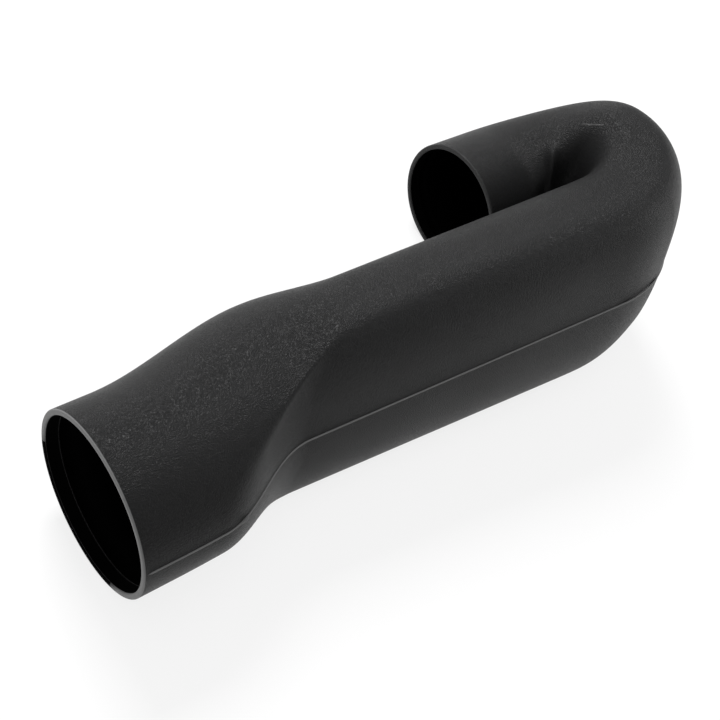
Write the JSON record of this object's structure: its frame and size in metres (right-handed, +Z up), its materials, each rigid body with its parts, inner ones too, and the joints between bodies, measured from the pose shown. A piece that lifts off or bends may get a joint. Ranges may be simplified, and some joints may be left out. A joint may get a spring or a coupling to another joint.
{
  "type": "vehicle air intake snorkel",
  "caption": "Blow-moulded plastic intake duct: round neck, slanted shoulder, tall narrow body and a tight return bend ending in a second round mouth.",
  "frame": {"origin": "bottom centre of the duct's box as it lies on a floor", "axes": "+X runs from the front mouth to the bend, +Y to the side of the return leg, +Z up from the floor"},
  "size_m": [0.3318, 0.1396, 0.106],
  "materials": {
    "black_plastic": "matt, fine leather grain from the mould"
  },
  "bodies": {
    "root": {"snorkel_duct": "black_plastic"}
  },
  "joints": []
}
